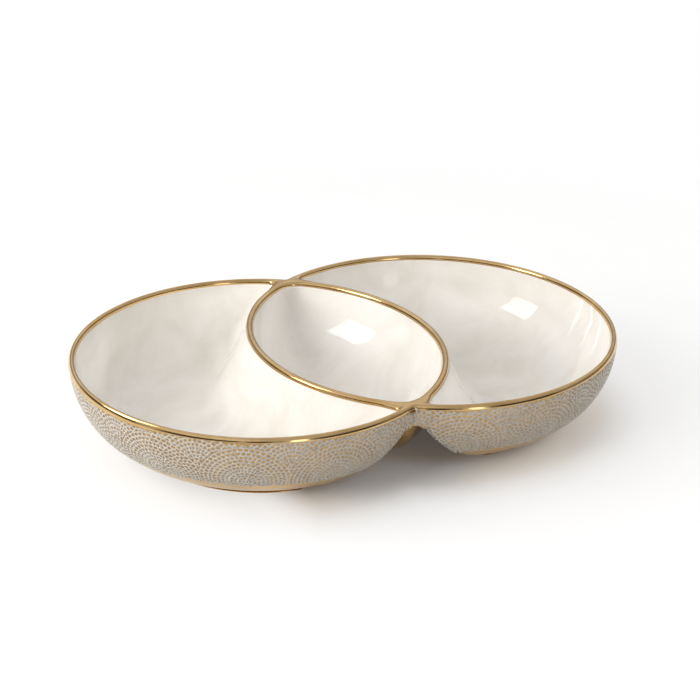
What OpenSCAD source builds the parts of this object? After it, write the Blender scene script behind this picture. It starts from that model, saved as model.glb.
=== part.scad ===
// Divided serving bowl: two oval bowls that overlap, with an almond-shaped
// dish where they cross. Every wall is one thickness of fired clay, so each
// divider is a fold that is open from below. The shapes are drawn round, as
// revolves about the two bowl centres, and then stretched across the width.

/* [Bowls] */
// Outer radius of each bowl at its rim, along the length
bowl_r = 126.4; // [110:0.2:140]
// Distance between the two bowl centres
bowl_gap = 127.2; // [116:0.2:136]
// Width of each bowl over its length
oval_share = 1.063; // [1:0.001:1.12]
// Height from the table to the top of the lip
bowl_h = 62.5; // [56:0.5:70]
// Thickness of the fired wall
wall_t = 4.2; // [3.4:0.1:5]

/* [Lip] */
// Height of the gold lip, top to lower edge
lip_h = 5; // [4:0.1:7]
// Width of the lip along each divider
divider_t = 5; // [4.4:0.1:6]

/* [Centre dish] */
// Depth of the almond dish below the lip
dish_depth = 50; // [40:0.5:52]
// Distance from the middle of the part to each blunt end of the dish
dish_tip_r = 100.5; // [94:0.5:104]
// How far each divider wall leans outward for each unit it drops
lean_share = 0.48; // [0.36:0.01:0.56]
// Radius of the web that joins the lips at each crossing
web_r = 17.5; // [15:0.1:20]
// Distance from the notch in the outline in to the web's centre
web_in = 11.2; // [9:0.1:13]
// Height of the web's crown above its edge
web_crown = 1.4; // [0.8:0.1:2]

/* [Base] */
// Outer radius of each foot, along the length
foot_r = 81; // [72:0.5:90]
// Width of the foot ring
foot_w = 5; // [4:0.1:7]
// Clear height under the flat of the base
foot_h = 2.9; // [2:0.1:5]
// How far each foot reaches from its bowl's centre towards the other bowl
foot_end_x = -2; // [-8:0.5:2]
// Radius where a divider wall meets the floor inside
floor_corner_r = 16; // [8:0.5:20]

/* [Decoration] */
// Thickness of the raised net and of the gold layer beside it
glaze_t = 0.8; // [0.5:0.1:1.2]
// Height of the lower edge of the net pattern
band_z = 20.5; // [12:0.5:26]

/* [Hidden] */
$fn = 144;

// One overrun for every cut
cut = 20;
// Space that holds the whole part, for half-space cuts
room = 4 * bowl_r;

half_gap = bowl_gap / 2;
lip_z = bowl_h - lip_h;
// Height of the centres of the wall curves and of the rounded lip
curve_z = bowl_h - wall_t / 2;
curve_r = curve_z - foot_h;
rim_in_r = bowl_r - wall_t;
divider_r = rim_in_r + divider_t;

dish_out_r = curve_z - (bowl_h - dish_depth) + wall_t;
// How far the floor corner's arc dips below the floor, as a share of its radius
corner_dip_share = 0.05;

// The notch where the two rims cross, and the web behind it
notch_y = sqrt(pow(bowl_r, 2) - pow(half_gap, 2));
web_y = notch_y - web_in;
web_dome_r = (pow(web_r, 2) + pow(web_crown, 2)) / (2 * web_crown);

lean_len_share = sqrt(1 + pow(lean_share, 2));
// Radius of a divider's outer face about the far bowl's centre
function lean_r(z) = divider_r + lean_share * (lip_z - z);
// Its underside, one wall thickness away
function under_r(z) = lean_r(z) - wall_t * lean_len_share;

floor_z = foot_h + wall_t;
foot_in_r = under_r(foot_h);
foot_top_z = foot_h + wall_t / 2;

ivory = "ivory";
gold = "goldenrod";
lattice = "lightgray";

// Stretch across the width, which turns the round shapes oval
module oval() scale([1, oval_share, 1]) children();

// Move a shape to the centre of the left (-1) or right (1) bowl
module at_side(side) translate([side * half_gap, 0, 0]) children();

// Mirror a left-hand shape to the right
module right_hand() mirror([1, 0, 0]) children();

// Keep what lies left of the crossing plane and above the table
module left_half() {
    intersection() {
        children();
        translate([-room, -room / 2, 0]) cube([room, room, room]);
    }
}

// Half of a section: a flat base that curves up to an upright rim
module wall_section(rim, rise, inset) {
    intersection() {
        square([rim, bowl_h + cut]);
        union() {
            translate([rim - rise, curve_z]) circle(r = rise - inset);
            translate([0, curve_z - rise + inset]) square([rim - rise, bowl_h + cut]);
            translate([0, curve_z]) square([rim - inset, bowl_h + cut]);
        }
    }
}

module turned_wall(rim, rise, inset) {
    rotate_extrude() wall_section(rim, rise, inset);
}

// A cone about the far bowl's centre that follows the leaning divider
module lean_section(inset) {
    polygon([[0, -cut], [lean_r(-cut) - inset, -cut],
             [lean_r(lip_z) - inset, lip_z], [lean_r(lip_z) - inset, bowl_h + cut],
             [0, bowl_h + cut]]);
}

module under_cone(inset) {
    rotate_extrude() lean_section((wall_t - inset) * lean_len_share);
}

// The same cone inside the bowl, with a hollow corner down to the floor
module floor_cone() {
    corner_z = floor_z + floor_corner_r * (1 - corner_dip_share);
    corner_x = lean_r(corner_z) + floor_corner_r * lean_len_share;
    touch_z = corner_z - floor_corner_r * lean_share / lean_len_share;
    rotate_extrude() {
        lean_section(0);
        difference() {
            translate([0, -cut]) square([corner_x, touch_z + cut]);
            translate([corner_x, corner_z]) circle(r = floor_corner_r);
        }
    }
}

// Fills the pointed end of a bowl below the web
module web_cone(side) {
    translate([0, side * web_y, 0]) rotate_extrude()
        polygon([[0, 0], [web_r + lean_share * lip_z, 0], [web_r, lip_z],
                 [web_r, bowl_h + cut], [0, bowl_h + cut]]);
}

// The outside of the left bowl's crescent, set in by a layer's thickness
module crescent_out(inset) {
    left_half() difference() {
        at_side(-1) turned_wall(bowl_r, curve_r, inset);
        at_side(1) under_cone(inset);
    }
}

// The almond where the two bowls cross, with blunted ends
module almond(inset) {
    intersection() {
        at_side(-1) turned_wall(bowl_r, dish_out_r, inset);
        at_side(1) turned_wall(bowl_r, dish_out_r, inset);
        turned_wall(dish_tip_r + wall_t, dish_out_r, inset);
    }
}

// Everything below the lip
module below_lip() {
    intersection() {
        children();
        translate([-room / 2, -room / 2, -cut]) cube([room, room, lip_z + cut]);
    }
}

// The hollow of the left bowl, up to its leaning divider
module crescent_hollow() {
    difference() {
        at_side(-1) turned_wall(bowl_r, curve_r, wall_t);
        at_side(1) floor_cone();
        web_cone(-1);
        web_cone(1);
    }
}

module crescent_bowl() {
    oval() below_lip() difference() {
        crescent_out(glaze_t);
        crescent_hollow();
        almond(0);
    }
}

// A layer of the left bowl's outside between two heights
module crescent_layer(low_z, high_z) {
    oval() left_half() difference() {
        at_side(-1) rotate_extrude() intersection() {
            difference() {
                wall_section(bowl_r, curve_r, 0);
                wall_section(bowl_r, curve_r, glaze_t);
            }
            translate([0, low_z]) square([bowl_r, high_z - low_z]);
        }
        at_side(1) under_cone(0);
    }
}

// The gold layer on the underside of the leaning divider
module divider_layer() {
    oval() left_half() below_lip() difference() {
        intersection() {
            at_side(-1) turned_wall(bowl_r, curve_r, glaze_t);
            at_side(1) under_cone(glaze_t);
        }
        at_side(1) under_cone(0);
        almond(0);
    }
}

// Plan of a foot: the bowl's round side, cut by the divider's hollow side
module foot_plan(inset) {
    scale([1, oval_share]) difference() {
        translate([-half_gap, 0]) circle(r = foot_r - inset);
        translate([half_gap, 0]) circle(r = foot_in_r + inset);
        translate([-half_gap + foot_end_x - inset, -room / 2]) square([room, room]);
    }
}

module crescent_foot() {
    difference() {
        intersection() {
            translate([0, 0, -cut]) linear_extrude(foot_top_z + cut) difference() {
                foot_plan(0);
                foot_plan(foot_w);
            }
            translate([-room, -room / 2, 0]) cube([room, room, bowl_h]);
        }
        oval() crescent_out(0);
    }
}

// A lip: an upright strip with a rounded top, turned about a bowl's centre
module lip_ring(r_in, r_out) {
    half = (r_out - r_in) / 2;
    rotate_extrude() {
        translate([r_in, lip_z]) square([r_out - r_in, bowl_h - half - lip_z]);
        intersection() {
            translate([r_in + half, bowl_h - half]) circle(r = half);
            translate([r_in, lip_z]) square([r_out - r_in, lip_h]);
        }
    }
}

module web_column(side) {
    translate([0, side * web_y, lip_z - cut]) cylinder(r = web_r, h = lip_h + 2 * cut);
}

module outer_rim() {
    oval() difference() {
        at_side(-1) lip_ring(rim_in_r, bowl_r);
        at_side(1) translate([0, 0, lip_z - cut]) cylinder(r = bowl_r, h = lip_h + 2 * cut);
        web_column(-1);
        web_column(1);
    }
}

module inner_rim() {
    oval() difference() {
        intersection() {
            at_side(1) lip_ring(rim_in_r, divider_r);
            at_side(-1) translate([0, 0, lip_z - cut]) cylinder(r = rim_in_r, h = lip_h + 2 * cut);
        }
        web_column(-1);
        web_column(1);
    }
}

// The domed web that joins four lips at a crossing
module crossing_web(side) {
    oval() difference() {
        intersection() {
            translate([0, side * web_y, lip_z]) cylinder(r = web_r, h = lip_h);
            translate([0, side * web_y, bowl_h - web_dome_r]) sphere(r = web_dome_r);
            union() {
                at_side(-1) cylinder(r = bowl_r, h = bowl_h);
                at_side(1) cylinder(r = bowl_r, h = bowl_h);
            }
        }
        almond(wall_t);
    }
}

module left_bowl() color(ivory) crescent_bowl();
module right_bowl() color(ivory) right_hand() crescent_bowl();
module centre_dish() {
    color(ivory) below_lip() oval() difference() {
        almond(glaze_t);
        almond(wall_t);
    }
}
module dish_underside() {
    color(gold) below_lip() oval() difference() {
        almond(0);
        almond(glaze_t);
    }
}
module left_rim() color(gold) outer_rim();
module right_rim() color(gold) right_hand() outer_rim();
module left_divider() color(gold) inner_rim();
module right_divider() color(gold) right_hand() inner_rim();
module front_web() color(gold) crossing_web(-1);
module back_web() color(gold) crossing_web(1);
module left_band() color(lattice) crescent_layer(band_z, lip_z);
module right_band() color(lattice) right_hand() crescent_layer(band_z, lip_z);
module left_skirt() color(gold) crescent_layer(0, band_z);
module right_skirt() color(gold) right_hand() crescent_layer(0, band_z);
module left_fold() color(gold) divider_layer();
module right_fold() color(gold) right_hand() divider_layer();
module left_foot() color(gold) crescent_foot();
module right_foot() color(gold) right_hand() crescent_foot();

left_bowl();
right_bowl();
centre_dish();
dish_underside();
left_rim();
right_rim();
left_divider();
right_divider();
front_web();
back_web();
left_band();
right_band();
left_skirt();
right_skirt();
left_fold();
right_fold();
left_foot();
right_foot();
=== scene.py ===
import math
import bmesh
import bpy
import numpy as np
from mathutils import Matrix, Vector


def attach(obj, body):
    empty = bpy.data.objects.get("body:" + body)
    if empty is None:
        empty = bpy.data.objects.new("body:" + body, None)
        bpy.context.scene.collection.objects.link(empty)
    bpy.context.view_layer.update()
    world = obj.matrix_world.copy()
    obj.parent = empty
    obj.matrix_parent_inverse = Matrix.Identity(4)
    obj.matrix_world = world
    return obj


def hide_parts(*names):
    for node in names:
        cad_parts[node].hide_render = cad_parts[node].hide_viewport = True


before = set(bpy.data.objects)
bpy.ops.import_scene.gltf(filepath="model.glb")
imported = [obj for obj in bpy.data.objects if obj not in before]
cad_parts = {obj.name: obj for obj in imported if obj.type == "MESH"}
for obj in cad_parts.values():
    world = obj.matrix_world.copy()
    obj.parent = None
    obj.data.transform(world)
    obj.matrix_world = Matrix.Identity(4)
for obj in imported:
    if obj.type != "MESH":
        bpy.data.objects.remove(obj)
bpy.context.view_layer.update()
print("frame loaded:", len(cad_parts), "nodes")

mm = 0.001

# the casting's own sizes in millimetres, drawn round and widened by oval at the end
bowl = {
    "halfGap": 63.6,     # from the middle of the part to each bowl's centre
    "oval": 1.063,       # width over length
    "rimR": 126.4,       # outer radius at the rim
    "curveR": 57.5,      # radius of the wall's section
    "curveZ": 60.4,      # height of that curve's centre
    "topZ": 62.5,
    "lipZ": 57.5,
    "ivoryZ": 59.3,      # the glaze ends here inside, and the lips' gold starts
    "wall": 4.2,
    "dividerR": 127.2,   # a divider's outer face, about the far bowl's centre
    "lean": 0.48,        # how far a divider leans out for each mm it drops
    "leanSoft": 1.5,     # eases the bend where the lean meets the upright lip
    "floorCorner": 16.0,
    "floorZ": 7.1,
    "baseZ": 2.9,
    "glaze": 0.35,       # how far the gold ground lies below the net
}
leftC = np.array([-bowl["halfGap"], 0.0])
rightC = np.array([bowl["halfGap"], 0.0])
ringR = bowl["rimR"] - bowl["curveR"]
slant = math.hypot(1, bowl["lean"])  # a leaning wall is this much wider in a level cut

# how finely the outlines are traced
tracing = {
    "side": 150, "dishSide": 110, "tip": 28, "spine": 900, "halvings": 44, "floorRings": 7,
    "tipShare": 0.7, "dishTipShare": 0.75,  # the most of the half width that a tip's radius takes
    "past": 60,                             # mm searched beyond half of the crescent's width
}


def wallR(z, inset=0.0):
    drop = np.maximum(bowl["curveZ"] - z, 0.0)
    return ringR + np.sqrt(np.maximum((bowl["curveR"] - inset) ** 2 - drop ** 2, 0.0))


def leanR(z):
    soft = bowl["leanSoft"]
    return bowl["dividerR"] + bowl["lean"] * soft * np.log1p(np.exp((bowl["lipZ"] - z) / soft))


# a divider's face inside a crescent, with its rounded corner at the floor
def dividerR(z):
    r = bowl["floorCorner"]
    cz = bowl["floorZ"] + r
    cx = float(leanR(cz)) + r * slant
    if z < cz - r * bowl["lean"] / slant:
        return cx - math.sqrt(max(r * r - (cz - z) ** 2, 0.0))
    return float(leanR(z))


def smoothMax(a, b, k):
    h = np.maximum(k - np.abs(a - b), 0.0) / k
    return np.maximum(a, b) + h * h * k / 4


def smoothMin(a, b, k):
    return -smoothMax(-a, -b, k)


# where the field turns positive on each line from start along aim
def rootAlong(field, start, aim, reach):
    low = np.zeros(len(start))
    high = np.full(len(start), reach)
    for step in range(tracing["halvings"]):
        mid = (low + high) / 2
        inside = field(start + aim * mid[:, None]) < 0
        low = np.where(inside, mid, low)
        high = np.where(inside, high, mid)
    return start + aim * low[:, None]


def dist(p, c):
    return np.hypot(p[:, 0] - c[0], p[:, 1] - c[1])


def unit(v):
    return v / np.linalg.norm(v, axis=1)[:, None]


def halfTurn(a):
    return (a + math.pi) % (2 * math.pi) - math.pi


# directions that swing from first to last by way of through
def fan(first, last, count, through):
    a0 = math.atan2(first[1], first[0])
    a1 = math.atan2(last[1], last[0])
    mid = math.atan2(through[1], through[0])
    a = mid + np.linspace(halfTurn(a0 - mid), halfTurn(a1 - mid), count)
    return np.stack([np.cos(a), np.sin(a)], -1)


# a closed outline from its spine, which runs from the front tip to the back one: the front tip,
# the first wall, the back tip and the second wall
def assemble(spine, toFirst, toSecond, count, field, reach):
    nudge = np.array([0, 0.01])  # settles which way round a tip the directions swing
    front = fan(toSecond[0], toFirst[0], count, (toSecond[0] + toFirst[0]) * 0.5 - nudge)
    back = fan(toFirst[-1], toSecond[-1], count, (toSecond[-1] + toFirst[-1]) * 0.5 + nudge)
    start = np.concatenate([np.repeat(spine[:1], count, 0), spine[1:-1],
                            np.repeat(spine[-1:], count, 0), spine[1:-1][::-1]])
    aim = np.concatenate([front, toFirst[1:-1], back, toSecond[1:-1][::-1]])
    return rootAlong(field, start, aim, reach), start


# points along a curve, evenly but for closer steps towards both ends
def evenly(x, y, count, endShare=0.35):
    step = np.hypot(np.diff(x), np.diff(y))
    along = np.concatenate([[0], np.cumsum(step)])
    t = np.linspace(-1, 1, count)
    t = (1 - endShare) * t + endShare * np.sin(t * math.pi / 2)
    want = (t + 1) / 2 * along[-1]
    return np.interp(want, along, x), np.interp(want, along, y)


# one level of the left crescent: inside a circle about the left centre, outside one about the
# right centre, and clear of the webs at both tips
def crescentRing(outR, farR, endR, soft, web=None, sideCount=tracing["side"], tipCount=tracing["tip"]):
    g = bowl["halfGap"]
    dMax = (outR - farR + 2 * g) / 2
    endR = min(endR, dMax * tracing["tipShare"])
    d = dMax - (dMax - endR) * np.linspace(0, 1, tracing["spine"]) ** 2
    x = ((outR - d) ** 2 - (farR + d) ** 2) / (4 * g)
    y = np.sqrt(np.maximum((outR - d) ** 2 - (x + g) ** 2, 0))
    y[0] = 0
    px, py = evenly(np.concatenate([x[::-1], x[1:]]), np.concatenate([-y[::-1], y[1:]]), sideCount)
    spine = np.stack([px, py], -1)

    def field(p):
        f = smoothMax(dist(p, leftC) - outR, farR - dist(p, rightC), soft)
        if web:
            for side in (-1, 1):
                f = smoothMax(f, web["r"] - dist(p, (0, side * web["y"])), web["soft"])
        return f

    return assemble(spine, unit(spine - leftC), unit(rightC - spine), tipCount, field, dMax + tracing["past"])


# one level of the almond dish: inside both circles
def lensRing(outR, endR, soft, sideCount=tracing["dishSide"], tipCount=tracing["tip"]):
    g = bowl["halfGap"]
    endR = min(endR, (outR - g) * tracing["dishTipShare"])
    yEnd = math.sqrt((outR - endR) ** 2 - g * g)
    py = np.linspace(-yEnd, yEnd, sideCount)
    spine = np.stack([0 * py, py], -1)

    def field(p):
        return smoothMax(dist(p, leftC) - outR, dist(p, rightC) - outR, soft)

    return assemble(spine, unit(spine - leftC), unit(spine - rightC), tipCount, field, outR)


# widens a flat outline to the oval and sets it at a height, or at one height for each point
def place(flat, z):
    flat = np.asarray(flat, float)
    return np.stack([flat[:, 0], flat[:, 1] * bowl["oval"], z + 0 * flat[:, 0]], -1)


def makeMesh(name, verts, faces, material, mergeMm=0.002):
    mesh = bpy.data.meshes.new(name)
    mesh.from_pydata([tuple(v) for v in (np.asarray(verts) * mm)], [], [tuple(int(i) for i in f) for f in faces])
    bm = bmesh.new()
    bm.from_mesh(mesh)
    bmesh.ops.remove_doubles(bm, verts=bm.verts, dist=mergeMm * mm)
    bmesh.ops.dissolve_degenerate(bm, edges=bm.edges, dist=0.0005 * mm)
    bmesh.ops.recalc_face_normals(bm, faces=bm.faces)
    bm.to_mesh(mesh)
    bm.free()
    mesh.polygons.foreach_set("use_smooth", [True] * len(mesh.polygons))
    mesh.materials.append(material)
    obj = bpy.data.objects.new(name, mesh)
    bpy.context.scene.collection.objects.link(obj)
    return obj


# gives the faces above or below a height a second finish
def refinish(obj, material, above=-math.inf, below=math.inf):
    mesh = obj.data
    mesh.materials.append(material)
    middles = np.empty(len(mesh.polygons) * 3)
    mesh.polygons.foreach_get("center", middles)
    second = (middles[2::3] > above * mm) & (middles[2::3] < below * mm)
    mesh.polygons.foreach_set("material_index", second.astype(np.int32))


# joins rings of one size into a tube
def ringStack(rings):
    n = len(rings[0])
    i = np.arange(n)
    j = (i + 1) % n
    faces = []
    for k in range(len(rings) - 1):
        a, b = k * n, (k + 1) * n
        faces += np.stack([a + i, a + j, b + j, b + i], -1).tolist()
    return np.concatenate(rings), faces


# the rings of one face, from its top level down to the lowest one, which shrinks onto its spine
def wallRings(levels, ringAt, *more):
    rings = []
    for z in levels:
        flat, spine = ringAt(z, *more)
        rings.append(place(flat, z))
    for share in np.linspace(1, 0, tracing["floorRings"] + 1)[1:]:
        rings.append(place(spine + (flat - spine) * share, z))
    return rings


def mirrored(verts):
    v = np.array(verts)
    v[:, 0] *= -1
    return v


def tone(hexText):
    def lin(c):
        c = c / 255
        return c / 12.92 if c <= 0.04045 else ((c + 0.055) / 1.055) ** 2.4
    h = hexText.lstrip("#")
    return tuple(lin(int(h[i:i + 2], 16)) for i in (0, 2, 4)) + (1.0,)


def addNode(tree, kind, settings=None, inputs=None, links=None):
    node = tree.nodes.new(kind)
    for key, value in (settings or {}).items():
        setattr(node, key, value)
    for key, value in (inputs or {}).items():
        node.inputs[key].default_value = value
    for key, source in (links or {}).items():
        tree.links.new(source, node.inputs[key])
    return node


def setTones(ramp, tones):
    for stop, (position, colour) in zip(ramp.color_ramp.elements, tones):
        stop.position = position
        stop.color = tone(colour)


def newMaterial(name):
    m = bpy.data.materials.new(name)
    m.use_nodes = True
    m.node_tree.nodes.clear()
    return m, m.node_tree


# settings that several nodes share
eased = {"interpolation_type": "SMOOTHSTEP"}
blended = {"data_type": "RGBA"}
multiplied = {"data_type": "RGBA", "blend_type": "MULTIPLY"}
plainMix = {"data_type": "FLOAT"}

# bright gold lustre, fired over the glaze: a thin metal film, so it mirrors the room but
# keeps the soft ripple of the glaze below it, and its tone drifts where the film is thinner
gold = {
    "tones": ((0.30, "#caa46a"), (0.62, "#dcba86")), "toneMm": 26.0,
    "rough": 0.11, "smoother": 0.03, "duller": 0.07, "speckMm": 0.9,
    "rippleMm": 9.0, "ripple": 0.1,
}
goldLustre, t = newMaterial("goldLustre")
where = addNode(t, "ShaderNodeTexCoord")
onPiece = {"Vector": where.outputs["Object"]}
drift = addNode(t, "ShaderNodeTexNoise", {},
                {"Scale": 1000 / gold["toneMm"], "Detail": 4.0, "Roughness": 0.55}, onPiece)
ramp = addNode(t, "ShaderNodeValToRGB", {}, {}, {"Fac": drift.outputs["Fac"]})
setTones(ramp, gold["tones"])
ripple = addNode(t, "ShaderNodeTexNoise", {}, {"Scale": 1000 / gold["rippleMm"], "Detail": 2.0}, onPiece)
speck = addNode(t, "ShaderNodeTexNoise", {}, {"Scale": 1000 / gold["speckMm"], "Detail": 3.0}, onPiece)
roughMap = addNode(t, "ShaderNodeMapRange", {},
                   {"From Min": 0.3, "From Max": 0.75, "To Min": gold["rough"] - gold["smoother"],
                    "To Max": gold["rough"] + gold["duller"]}, {"Value": speck.outputs["Fac"]})
bump = addNode(t, "ShaderNodeBump", {}, {"Strength": gold["ripple"], "Distance": 0.001},
               {"Height": ripple.outputs["Fac"]})
shader = addNode(t, "ShaderNodeBsdfPrincipled", {}, {"Metallic": 1.0},
                 {"Base Color": ramp.outputs["Color"], "Roughness": roughMap.outputs["Result"],
                  "Normal": bump.outputs["Normal"]})
addNode(t, "ShaderNodeOutputMaterial", {}, {}, {"Surface": shader.outputs["BSDF"]})

# ivory gloss glaze on white earthenware: glassy, a little uneven where it ran while molten,
# with faint warmer clouds where it lies thicker
ivory = {
    "tones": ((0.32, "#d6d0c6"), (0.60, "#e1ddd6")), "cloudMm": 60.0, "rough": 0.06,
    "waveMm": 34.0, "wave": 0.12, "peelMm": 5.0, "peel": 0.05,
}
ivoryGlaze, t = newMaterial("ivoryGlaze")
where = addNode(t, "ShaderNodeTexCoord")
onPiece = {"Vector": where.outputs["Object"]}
cloud = addNode(t, "ShaderNodeTexNoise", {}, {"Scale": 1000 / ivory["cloudMm"], "Detail": 5.0, "Roughness": 0.6,
                "Distortion": 1.2}, onPiece)
ramp = addNode(t, "ShaderNodeValToRGB", {}, {}, {"Fac": cloud.outputs["Fac"]})
setTones(ramp, ivory["tones"])
wave = addNode(t, "ShaderNodeTexNoise", {}, {"Scale": 1000 / ivory["waveMm"], "Detail": 1.5}, onPiece)
peel = addNode(t, "ShaderNodeTexNoise", {}, {"Scale": 1000 / ivory["peelMm"], "Detail": 1.0}, onPiece)
waveBump = addNode(t, "ShaderNodeBump", {}, {"Strength": ivory["wave"], "Distance": 0.002},
                   {"Height": wave.outputs["Fac"]})
peelBump = addNode(t, "ShaderNodeBump", {}, {"Strength": ivory["peel"], "Distance": 0.0004},
                   {"Height": peel.outputs["Fac"], "Normal": waveBump.outputs["Normal"]})
# a few thick runs of glaze down the right-hand wall, as thin wavy lines: the bump gives their ripple, and their
# colour, paler than the rest, is a painted highlight for the white streaks of reflection on them. They lie between
# these limits in metres, each as (where they start to show, where they show in full)
runsAndHighlight = {
    "colour": "#ebeae7", "everyMm": 17.0, "crest": 0.80, "height": 0.00012,
    "x": (0.150, 0.166), "y": -0.012, "yHalf": (0.032, 0.018), "z": (0.026, 0.040),
}
bands = addNode(t, "ShaderNodeTexWave", {"bands_direction": "Y"},
                {"Scale": math.pi / 10 / (runsAndHighlight["everyMm"] * mm), "Distortion": 2.2, "Detail": 2.0,
                 "Detail Scale": 3.0}, onPiece)
crest = addNode(t, "ShaderNodeMapRange", eased, {"From Min": runsAndHighlight["crest"]}, {"Value": bands.outputs["Fac"]})
spot = addNode(t, "ShaderNodeSeparateXYZ", {}, {}, {0: where.outputs["Object"]})
shiftY = addNode(t, "ShaderNodeMath", {"operation": "SUBTRACT"}, {1: runsAndHighlight["y"]}, {0: spot.outputs["Y"]})
awayY = addNode(t, "ShaderNodeMath", {"operation": "ABSOLUTE"}, {}, {0: shiftY.outputs[0]})
height = crest.outputs["Result"]
for key, value in (("x", spot.outputs["X"]), ("yHalf", awayY.outputs[0]), ("z", spot.outputs["Z"])):
    limit = addNode(t, "ShaderNodeMapRange", eased, {"From Min": runsAndHighlight[key][0], "From Max": runsAndHighlight[key][1]},
                    {"Value": value})
    both = addNode(t, "ShaderNodeMath", {"operation": "MULTIPLY"}, {}, {0: height, 1: limit.outputs["Result"]})
    height = both.outputs[0]
runBump = addNode(t, "ShaderNodeBump", {}, {"Strength": 1.0, "Distance": runsAndHighlight["height"]},
                  {"Height": height, "Normal": peelBump.outputs["Normal"]})
# painted highlight: the runs are coloured paler than the rest of the glaze
paintedStreaks = addNode(t, "ShaderNodeMix", blended, {"B": tone(runsAndHighlight["colour"])},
                {"Factor": height, "A": ramp.outputs["Color"]})
shader = addNode(t, "ShaderNodeBsdfPrincipled", {}, {"Roughness": ivory["rough"], "IOR": 1.5},
                 {"Base Color": paintedStreaks.outputs["Result"], "Normal": runBump.outputs["Normal"]})
addNode(t, "ShaderNodeOutputMaterial", {}, {}, {"Surface": shader.outputs["BSDF"]})

# duller gold under the net, on the wall below it, in the folds, under the dish and on the feet: a brushed coat over
# a satin body, so it mirrors only softly. Its darker tones under the net, under the dish and on the feet are painted
# shade, for faces that lie in shade and mirror the shadowed floor
# the coat's grain and roughness, and the tone and heights of a painted shade near the bottom
brushed = {"grainMm": 0.7, "grain": 0.15, "smoother": 0.06, "duller": 0.08, "paintedShade": "#ad9f80", "paintedShadeZ": 3.0}
dullAndShadedGold = {
    # the golds for the net's ground, the dish's underside and the feet are darker copies of the skirt's gold:
    # painted shade
    "goldGround": {"thin": "#a98552", "full": "#c59f66", "rough": 0.34, "toneMm": 14.0, "fullMm": 6.0},
    "goldSkirt": {"thin": "#b99755", "full": "#d1ae70", "rough": 0.24, "toneMm": 30.0, "fullMm": 10.0},
    "goldUnder": {"thin": "#917344", "full": "#a98a58", "rough": 0.30, "toneMm": 20.0, "fullMm": 6.0},
    "goldFoot": {"thin": "#9b7c4b", "full": "#b39460", "rough": 0.24, "toneMm": 20.0, "fullMm": 6.0},
}
for name, d in dullAndShadedGold.items():
    m, t = newMaterial(name)
    where = addNode(t, "ShaderNodeTexCoord")
    onPiece = {"Vector": where.outputs["Object"]}
    drift = addNode(t, "ShaderNodeTexNoise", {}, {"Scale": 1000 / d["toneMm"], "Detail": 4.0, "Roughness": 0.6},
                    onPiece)
    ramp = addNode(t, "ShaderNodeValToRGB", {}, {}, {"Fac": drift.outputs["Fac"]})
    setTones(ramp, ((0.34, d["thin"]), (0.64, d["full"])))
    grain = addNode(t, "ShaderNodeTexNoise", {}, {"Scale": 1000 / brushed["grainMm"], "Detail": 3.0}, onPiece)
    roughMap = addNode(t, "ShaderNodeMapRange", {},
                       {"From Min": 0.3, "From Max": 0.7, "To Min": d["rough"] - brushed["smoother"],
                        "To Max": d["rough"] + brushed["duller"]}, {"Value": grain.outputs["Fac"]})
    bump = addNode(t, "ShaderNodeBump", {}, {"Strength": brushed["grain"], "Distance": 0.0002},
                   {"Height": grain.outputs["Fac"]})
    # painted shade: the colour darkens towards the bottom, where the wall turns under towards the foot
    heightAt = addNode(t, "ShaderNodeSeparateXYZ", {}, {}, {0: where.outputs["Object"]})
    under = addNode(t, "ShaderNodeMapRange", eased,
                    {"From Min": d["fullMm"] * mm, "From Max": brushed["paintedShadeZ"] * mm, "To Max": 1.0},
                    {"Value": heightAt.outputs["Z"]})
    paintedShade = addNode(t, "ShaderNodeMix", multiplied, {"B": tone(brushed["paintedShade"])},
                   {"Factor": under.outputs["Result"], "A": ramp.outputs["Color"]})
    shader = addNode(t, "ShaderNodeBsdfPrincipled", {}, {"Metallic": 1.0},
                     {"Base Color": paintedShade.outputs["Result"], "Roughness": roughMap.outputs["Result"],
                      "Normal": bump.outputs["Normal"]})
    addNode(t, "ShaderNodeOutputMaterial", {}, {}, {"Surface": shader.outputs["BSDF"]})
goldGround, goldSkirt, goldUnder, goldFoot = [bpy.data.materials[name] for name in dullAndShadedGold]

# pale grey enamel laid on in raised lines: soft satin, slightly chalky, dusky in its hollows
enamel = {"tones": ((0.30, "#968e82"), (0.58, "#aea79b")), "rough": 0.38, "mottleMm": 2.2, "mottle": 0.2}
netEnamel, t = newMaterial("netEnamel")
where = addNode(t, "ShaderNodeTexCoord")
mottle = addNode(t, "ShaderNodeTexNoise", {}, {"Scale": 1000 / enamel["mottleMm"], "Detail": 3.0},
                 {"Vector": where.outputs["Object"]})
ramp = addNode(t, "ShaderNodeValToRGB", {}, {}, {"Fac": mottle.outputs["Fac"]})
setTones(ramp, enamel["tones"])
bump = addNode(t, "ShaderNodeBump", {}, {"Strength": enamel["mottle"], "Distance": 0.0002},
               {"Height": mottle.outputs["Fac"]})
shader = addNode(t, "ShaderNodeBsdfPrincipled", {}, {"Roughness": enamel["rough"], "IOR": 1.5},
                 {"Base Color": ramp.outputs["Color"], "Normal": bump.outputs["Normal"]})
addNode(t, "ShaderNodeOutputMaterial", {}, {}, {"Surface": shader.outputs["BSDF"]})
print("materials made")

# the crescents' tips and the webs in them; a pair is (at the lip, more for each mm below it)
tips = {
    "webR": 12.5, "webY": 98.0, "webSoft": (9.0, 0.3),
    "endR": (7.0, 0.15), "soft": (2.8, 0.4),
    "outEndR": 7.0, "outSoft": 7.0,
    "insetShare": 1.109,  # how far a mm of inset moves a fold in a level cut
}
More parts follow.
